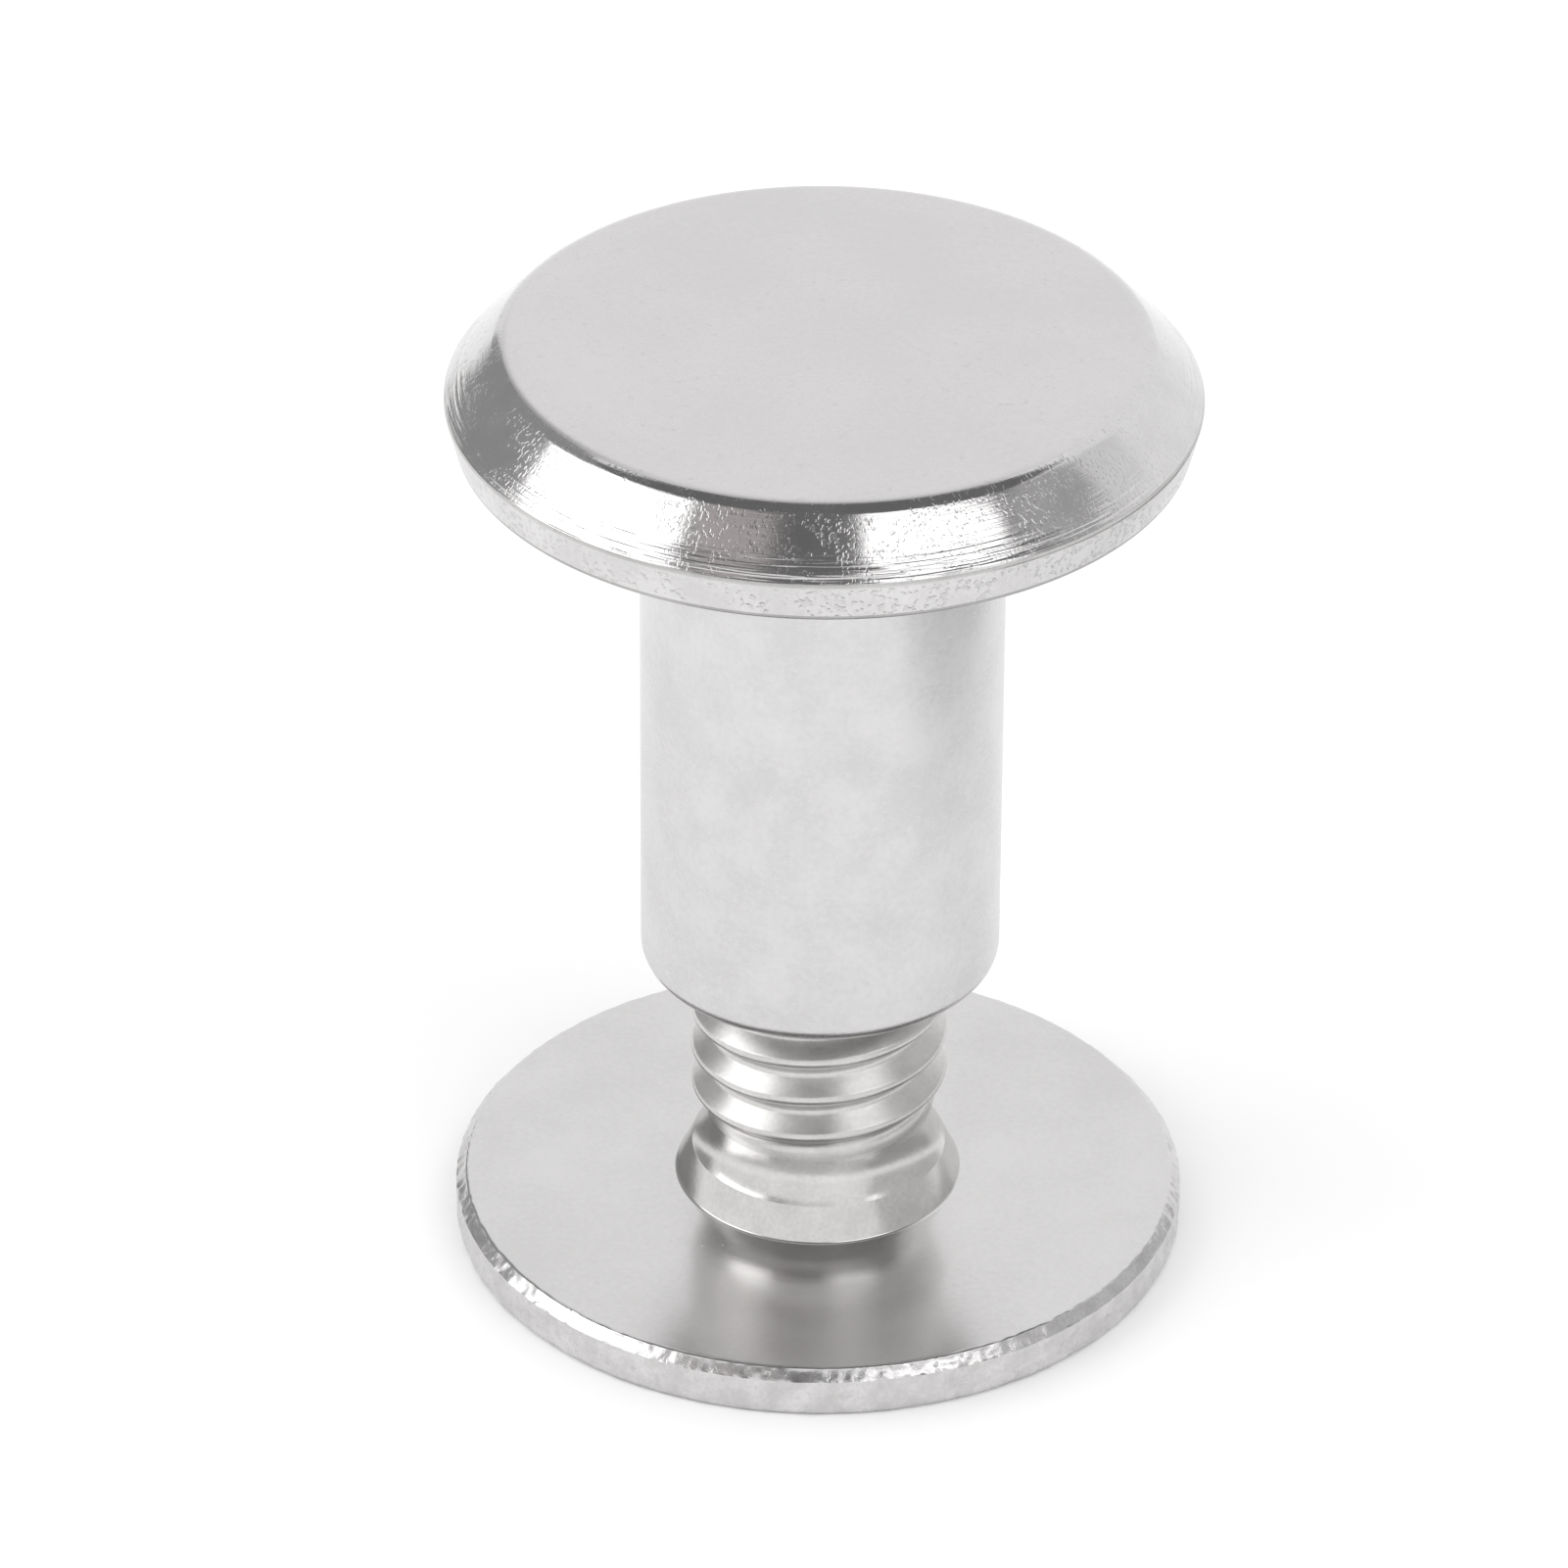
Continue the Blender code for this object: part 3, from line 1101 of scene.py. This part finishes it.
    def _dressings(self) -> list[Dressing]:
        """Say which finish covers which part of the post.

        Returns:
            The finishes. A later one covers an earlier one.
        """
        satin_radius = self.top_radius - self.satin_inset
        bevel_foot = self.rim_top - self.rim_round / 2
        underside = self.rim_bottom - TOUCH
        shadow_line_top = self.rim_bottom + self.under_line
        band_radius = self.barrel_radius + self.barrel_margin
        shade_line_radius = self.head_radius - self.bevel_width / 2
        bore_mouth = self.mouth_radius - self.mouth_round
        foot_marks = MarkBand(
            foot=self.rim_top,
            top=self.rim_top + self.foot_marks_height,
            spacing=self.foot_marks_spacing,
            depth=self.foot_marks_depth,
            streaks=self.foot_marks_streaks,
        )
        bevel_plate = replace(BEVEL_PLATE, band=foot_marks)
        return [
            Dressing(BARREL_PLATE, lambda r, z: True),
            Dressing(TOP_PLATE, lambda r, z: z > self.rim_top and r < satin_radius),
            Dressing(bevel_plate, lambda r, z: z > bevel_foot and r >= satin_radius),
            Dressing(RIM_BAND_PLATE, lambda r, z: underside < z <= bevel_foot and r > band_radius),
            # Painted shade: a darker ring at the foot of the bevel.
            Dressing(
                FOOT_SHADE_LINE_PLATE,
                lambda r, z: abs(z - self.rim_top) < self.foot_line and r > shade_line_radius,
            ),
            # Painted shadow: a dark ring at the foot of the rim.
            Dressing(UNDER_SHADOW_LINE_PLATE, lambda r, z: underside < z < shadow_line_top and r > band_radius),
            Dressing(BORE_PLATE, lambda r, z: z < self.point_z + TOUCH and r < bore_mouth),
        ]


@dataclass
class Screw:
    """The lower piece: a slotted disc head, a collar and a rolled thread.

    Lengths are in millimetres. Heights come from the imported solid.
    """

    node: str = "slotted_screw"
    head_thickness: float = 0.70
    chamfer: float = 0.135
    chamfer_depth: float = 0.145
    chamfer_round: float = 0.03
    outer_edge_round: float = 0.12
    slot_points: int = 62
    slot_length: float = 6.4
    slot_width: float = 1.2
    slot_depth: float = 0.35
    slot_edge_round: float = 0.05
    collar_base_radius: float = 1.95
    collar_top_radius: float = 1.74
    collar_height: float = 0.46
    collar_round: float = 0.06
    collar_root_round: float = 0.05
    neck_radius: float = 1.54
    flare_height: float = 0.24
    flare_round: float = 0.70
    neck_height: float = 0.35
    thread_crest: float = 1.75
    thread_root: float = 1.498
    thread_pitch: float = 0.60
    run_out: float = 0.46
    start_angle: float = math.radians(-22)
    tip_cut: float = 0.20
    shank_steps: int = 192
    rim_steps: int = 768
    rim_longest: float = 0.05
    rim_inner_radius: float = 4.45
    face_outer_radius: float = 4.40
    face_margin: float = 0.03
    wear: tuple[Wear, ...] = (Wear(0.30, 0.026, 2), Wear(0.11, 0.020, 1))
    wear_start: float = 4.82
    wear_ramp: float = 0.05
    head_radius: float = field(init=False)
    tip_z: float = field(init=False)

    def __post_init__(self) -> None:
        """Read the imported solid's place."""
        _, high = node_box(self.node)
        self.head_radius = high.x
        self.tip_z = high.z

    def build(self) -> None:
        """Model the screw and dress it."""
        parts = [self._rim(), self._face_and_neck(), self._thread(), self._tip()]
        piece = join_parts("stud_screw", parts)
        self._fill_face(piece)
        self._close_underside(piece)
        for index, wear in enumerate(self.wear):
            wear.press(piece, f"rim_wear_{index}", self._rim_weight)
        edge = self.head_radius - self.chamfer
        top = self.head_thickness
        neck_top = self._neck_top()
        base = self.collar_base_radius
        dressings = [
            Dressing(THREAD_PLATE, lambda r, z: True),
            Dressing(COLLAR_PLATE, lambda r, z: top < z < neck_top and r < base),
            Dressing(FACE_PLATE, lambda r, z: abs(z - top) < self.face_margin and r > base),
            Dressing(ROUGH_RIM_PLATE, lambda r, z: r > edge),
            Dressing(UNDERSIDE_PLATE, lambda r, z: z < self.slot_depth + TOUCH and r < edge),
        ]
        finish_piece(piece, dressings, "screw", self.node)

    def _neck_top(self) -> float:
        """Return the height at which the neck ends and the thread starts."""
        return self.head_thickness + self.collar_height + self.flare_height + self.neck_height

    def _rim(self) -> bpy.types.Object:
        """Turn the head's rim, finely enough to take its wear.

        Returns:
            The rim, in object mode.
        """
        return Lathe(self.rim_steps, longest=self.rim_longest).turn(
            "head_rim",
            [
                Corner(self.rim_inner_radius, self.head_thickness),
                Corner(self.head_radius - self.chamfer, self.head_thickness, self.chamfer_round),
                Corner(self.head_radius, self.head_thickness - self.chamfer_depth, self.chamfer_round),
                Corner(self.head_radius, 0.0, self.outer_edge_round),
                Corner(self.head_radius - 2 * self.outer_edge_round, 0.0),
            ],
        )

    def _face_and_neck(self) -> bpy.types.Object:
        """Turn the head's inner face, the collar, the flare and the neck.

        Returns:
            The turned part, in object mode.
        """
        collar_top = self.head_thickness + self.collar_height
        neck_base = collar_top + self.flare_height
        return Lathe(self.shank_steps).turn(
            "head_face",
            [
                Corner(self.face_outer_radius, self.head_thickness),
                Corner(self.collar_base_radius, self.head_thickness, self.collar_root_round),
                Corner(self.collar_top_radius, collar_top, self.collar_round),
                Corner(self.neck_radius, neck_base, self.flare_round),
                Corner(self.neck_radius, self._neck_top()),
            ],
        )

    def _thread(self) -> bpy.types.Object:
        """Make the rolled thread from the neck to the tip.

        Returns:
            The thread, in object mode.
        """
        return Thread(
            crest=self.thread_crest,
            root=self.thread_root,
            pitch=self.thread_pitch,
            bottom=self._neck_top(),
            top=self.tip_z,
            bottom_radius=self.neck_radius,
            top_radius=self.thread_root - self.tip_cut,
            bottom_length=self.run_out,
            top_length=self.run_out,
            top_end=ThreadEnd.CHAMFER,
            start_angle=self.start_angle,
            steps=self.shank_steps,
        ).build("shank_thread")

    def _tip(self) -> bpy.types.Object:
        """Turn the flat end of the shank."""
        corners = [Corner(self.thread_root - self.tip_cut, self.tip_z), Corner(0.0, self.tip_z)]
        return Lathe(self.shank_steps).turn("shank_tip", corners)

    def _fill_face(self, piece: bpy.types.Object) -> None:
        """Fill the gap between the fine rim and the coarser face.

        Args:
            piece: The joined screw, open in edit mode.
        """
        rim_ring = near(self.rim_inner_radius, self.head_thickness)
        face_ring = near(self.face_outer_radius, self.head_thickness)
        select_places(piece, lambda r, z: rim_ring(r, z) or face_ring(r, z))
        bpy.ops.mesh.fill(use_beauty=True)

    def _close_underside(self, piece: bpy.types.Object) -> None:
        """Close the head's outer face round the blind driver slot.

        Args:
            piece: The joined screw, which is left in object mode.
        """
        bpy.ops.object.mode_set(mode="OBJECT")
        slot = self._slot_outline()
        join_parts("stud_screw", [piece, slot])
        ring = self.head_radius - 2 * self.outer_edge_round
        select_places(piece, lambda r, z: abs(z) < TOUCH and r < ring + TOUCH)
        bpy.ops.mesh.fill(use_beauty=True)
        reach = self.slot_length / 2 + TOUCH
        select_places(piece, lambda r, z: abs(z) < TOUCH and r < reach)
        bpy.ops.mesh.extrude_edges_move(TRANSFORM_OT_translate={"value": (0.0, 0.0, self.slot_depth)})
        bpy.ops.mesh.edge_face_add()
        bpy.ops.mesh.inset(thickness=self.slot_edge_round, depth=0.0)
        bpy.ops.mesh.select_all(action="SELECT")
        bpy.ops.mesh.normals_make_consistent(inside=False)
        bpy.ops.object.mode_set(mode="OBJECT")

    def _slot_outline(self) -> bpy.types.Object:
        """Draw the driver slot's outline, a long hole along X.

        Returns:
            The outline, in object mode.
        """
        bpy.ops.object.select_all(action="DESELECT")
        bpy.ops.mesh.primitive_circle_add(
            vertices=self.slot_points, radius=self.slot_width / 2, fill_type="NOTHING"
        )
        outline = bpy.context.object
        stretch = (self.slot_length - self.slot_width) / 2
        bpy.ops.object.mode_set(mode="EDIT")
        for side in (1.0, -1.0):
            bpy.ops.mesh.select_all(action="DESELECT")
            mesh = bmesh.from_edit_mesh(outline.data)
            for vertex in mesh.verts:
                vertex.select = vertex.co.x * side > TOUCH
            mesh.select_flush(True)
            bmesh.update_edit_mesh(outline.data)
            bpy.ops.transform.translate(value=(stretch * side, 0.0, 0.0))
        bpy.ops.object.mode_set(mode="OBJECT")
        return outline

    def _rim_weight(self, radius: float, height: float) -> float:
        """Return how far a point of the head's rim is worn."""
        return min(1.0, (radius - self.wear_start) / self.wear_ramp, height / self.wear_ramp)


class CardKind(Enum):
    """What a card in the studio does."""

    SOFTBOX = "lights the stud and shows as a bright patch in the metal"
    FLAG = "shows as a dark patch in the metal"


@dataclass(frozen=True)
class Card:
    """A card that stands round the stud, facing it. Angles are in degrees.

    Attributes:
        name: Its name.
        kind: What it does.
        azimuth: Where its middle is, from the camera's side towards +X.
        elevation: How high its middle is.
        width: Its width as seen from the stud.
        height: Its height as seen from the stud.
        tilt: How far its long side rises towards +azimuth.
        level: Its brightness, where white is 1.
        distance: How far it is from the stud, in metres.
        tint: Its colour, where white is 1 in each part.
    """

    name: str
    kind: CardKind
    azimuth: float
    elevation: float
    width: float
    height: float
    tilt: float
    level: float
    distance: float
    tint: tuple[float, float, float] = (1.0, 1.0, 1.0)

    def place(self) -> None:
        """Add the card to the scene."""
        azimuth = math.radians(self.azimuth)
        elevation = math.radians(self.elevation)
        outwards = Vector(
            (
                math.sin(azimuth) * math.cos(elevation),
                -math.cos(azimuth) * math.cos(elevation),
                math.sin(elevation),
            )
        )
        width = 2 * self.distance * math.tan(math.radians(self.width) / 2)
        height = 2 * self.distance * math.tan(math.radians(self.height) / 2)
        roll = Quaternion((0.0, 0.0, 1.0), math.radians(self.tilt))
        turn = (outwards.to_track_quat("Z", "Y") @ roll).to_euler()
        if self.kind is CardKind.SOFTBOX:
            bpy.ops.object.light_add(type="AREA", location=outwards * self.distance, rotation=turn)
            lamp = bpy.context.object
            lamp.name = self.name
            lamp.data.shape = "RECTANGLE"
            lamp.data.size = width
            lamp.data.size_y = height
            lamp.data.energy = self.level * math.pi * width * height
            lamp.visible_camera = False
        else:
            bpy.ops.mesh.primitive_plane_add(size=1.0, location=outwards * self.distance, rotation=turn)
            flag = bpy.context.object
            flag.name = self.name
            flag.scale = (width, height, 1.0)
            flag.data.materials.append(glow(self.name, self.level, self.tint))
            flag.visible_camera = False
            flag.visible_diffuse = False
            flag.visible_shadow = False


def glow(name: str, level: float, tint: tuple[float, float, float]) -> bpy.types.Material:
    """Make a material of one even brightness.

    Args:
        name: Its name.
        level: Its brightness, where white is 1.
        tint: Its colour, where white is 1 in each part.

    Returns:
        The material.
    """
    material = bpy.data.materials.new(name)
    material.use_nodes = True
    material.node_tree.nodes.clear()
    nodes = Nodes(material.node_tree)
    emission = nodes.add("ShaderNodeEmission", {"Color": (*tint, 1.0), "Strength": level})
    nodes.add("ShaderNodeOutputMaterial", {"Surface": emission.outputs[0]})
    return material


ROSY = (1.05, 0.99, 0.975)  # tint of the warm patch in the middle of the bevel


@dataclass
class Studio:
    """The plain pale floor, the white surround, the softboxes and the flags.

    The floor's radius is in metres and its drop below the stud in millimetres.
    """

    floor_points: int = 96
    floor_radius: float = 0.8
    floor_drop: float = 0.004
    floor_colour: tuple[float, float, float] = (0.97, 0.97, 0.97)
    floor_roughness: float = 0.9
    surround_level: float = 1.0
    # name, kind, azimuth, elevation, width, height, tilt, level, distance, tint
    cards: tuple[Card, ...] = (
        Card("left_softbox", CardKind.SOFTBOX, -81.0, 38.5, 44.0, 23.0, 31.0, 1.85, 0.40),
        Card("right_softbox", CardKind.SOFTBOX, 41.5, 49.0, 33.0, 17.0, -23.0, 1.95, 0.40),
        Card("ceiling_flag", CardKind.FLAG, 0.0, 78.0, 84.0, 68.0, 0.0, 0.18, 0.46),
        Card("front_flag", CardKind.FLAG, -36.0, 51.5, 18.0, 16.0, 0.0, 0.50, 0.43, ROSY),
        Card("left_flag", CardKind.FLAG, -130.0, 22.0, 46.0, 62.0, 0.0, 0.36, 0.45),
        Card("right_flag", CardKind.FLAG, 86.0, 36.0, 30.0, 22.0, 0.0, 0.46, 0.45),
        Card("right_edge_flag", CardKind.FLAG, 107.0, 32.0, 14.0, 22.0, 0.0, 0.84, 0.45),
        # Painted shadow: a dark card just beside the stud, seen only in the metal. It stands in for the
        # stud's shadow on the floor as the barrel reflects it.
        Card("floor_shadow_flag", CardKind.FLAG, 86.0, 20.0, 74.0, 36.0, 0.0, 0.60, 0.016),
    )

    def build(self) -> None:
        """Set up the studio."""
        self._surround()
        self._floor()
        for card in self.cards:
            card.place()
        log.info("studio: %d cards", len(self.cards))

    def _surround(self) -> None:
        """Surround the stud with even white light."""
        world = bpy.data.worlds.new("surround")
        bpy.context.scene.world = world
        world.use_nodes = True
        background = world.node_tree.nodes["Background"]
        background.inputs["Color"].default_value = (1.0, 1.0, 1.0, 1.0)
        background.inputs["Strength"].default_value = self.surround_level

    def _floor(self) -> None:
        """Lay the floor just under the stud."""
        bpy.ops.object.select_all(action="DESELECT")
        bpy.ops.mesh.primitive_circle_add(
            vertices=self.floor_points,
            radius=self.floor_radius,
            fill_type="NGON",
            location=(0.0, 0.0, -self.floor_drop * MM),
        )
        floor = bpy.context.object
        floor.name = "floor"
        material = bpy.data.materials.new("pale_floor")
        material.use_nodes = True
        shader = material.node_tree.nodes["Principled BSDF"]
        shader.inputs["Base Color"].default_value = (*self.floor_colour, 1.0)
        shader.inputs["Roughness"].default_value = self.floor_roughness
        shader.inputs["Specular IOR Level"].default_value = 0.0
        floor.data.materials.append(material)


@dataclass(frozen=True)
class PhotoCamera:
    """The camera at the photograph's viewing angle.

    Attributes:
        aim_height: Height of the point that it looks at, in millimetres.
        distance: Its distance from that point, in millimetres.
        elevation: Its height above the horizon, in degrees.
        roll: How far it is rolled, in degrees.
        scale: Pixels to a millimetre at that point.
        right_px: How far right of the middle that point lies, in pixels.
        down_px: How far below the middle that point lies, in pixels.
        side_px: Side of the square picture in pixels.
        sensor: Width of the sensor in millimetres.
        clip_start: Nearest distance that it sees, in metres.
    """

    aim_height: float = 7.0
    distance: float = 130.0
    elevation: float = 32.0
    roll: float = -0.45
    scale: float = 76.09
    right_px: float = 38.1
    down_px: float = -9.2
    side_px: int = 1601
    sensor: float = 36.0
    clip_start: float = 0.01

    def build(self) -> None:
        """Add the camera and make it the scene's own."""
        elevation = math.radians(self.elevation)
        roll = math.radians(-self.roll)
        back = Vector((0.0, -math.cos(elevation), math.sin(elevation)))
        level = Vector((1.0, 0.0, 0.0))
        upright = back.cross(level)
        right = level * math.cos(roll) + upright * math.sin(roll)
        up = upright * math.cos(roll) - level * math.sin(roll)
        aim = Vector((0.0, 0.0, self.aim_height))
        data = bpy.data.cameras.new("photo_camera")
        camera = bpy.data.objects.new("photo_camera", data)
        bpy.context.scene.collection.objects.link(camera)
        turn = Matrix((right, up, back)).transposed().to_4x4()
        camera.matrix_world = Matrix.Translation((aim + back * self.distance) * MM) @ turn
        data.sensor_width = self.sensor
        data.lens = self.sensor * self.scale * self.distance / self.side_px
        data.shift_x = -self.right_px / self.side_px
        data.shift_y = self.down_px / self.side_px
        data.clip_start = self.clip_start
        bpy.context.scene.camera = camera


def main() -> None:
    """Build the stud, the studio and the camera."""
    logging.basicConfig(level=logging.INFO, format="%(message)s")
    bpy.context.scene.view_settings.view_transform = "Standard"
    PhotoCamera().build()
    Post().build()
    Screw().build()
    Studio().build()


if __name__ == "__main__":
    main()
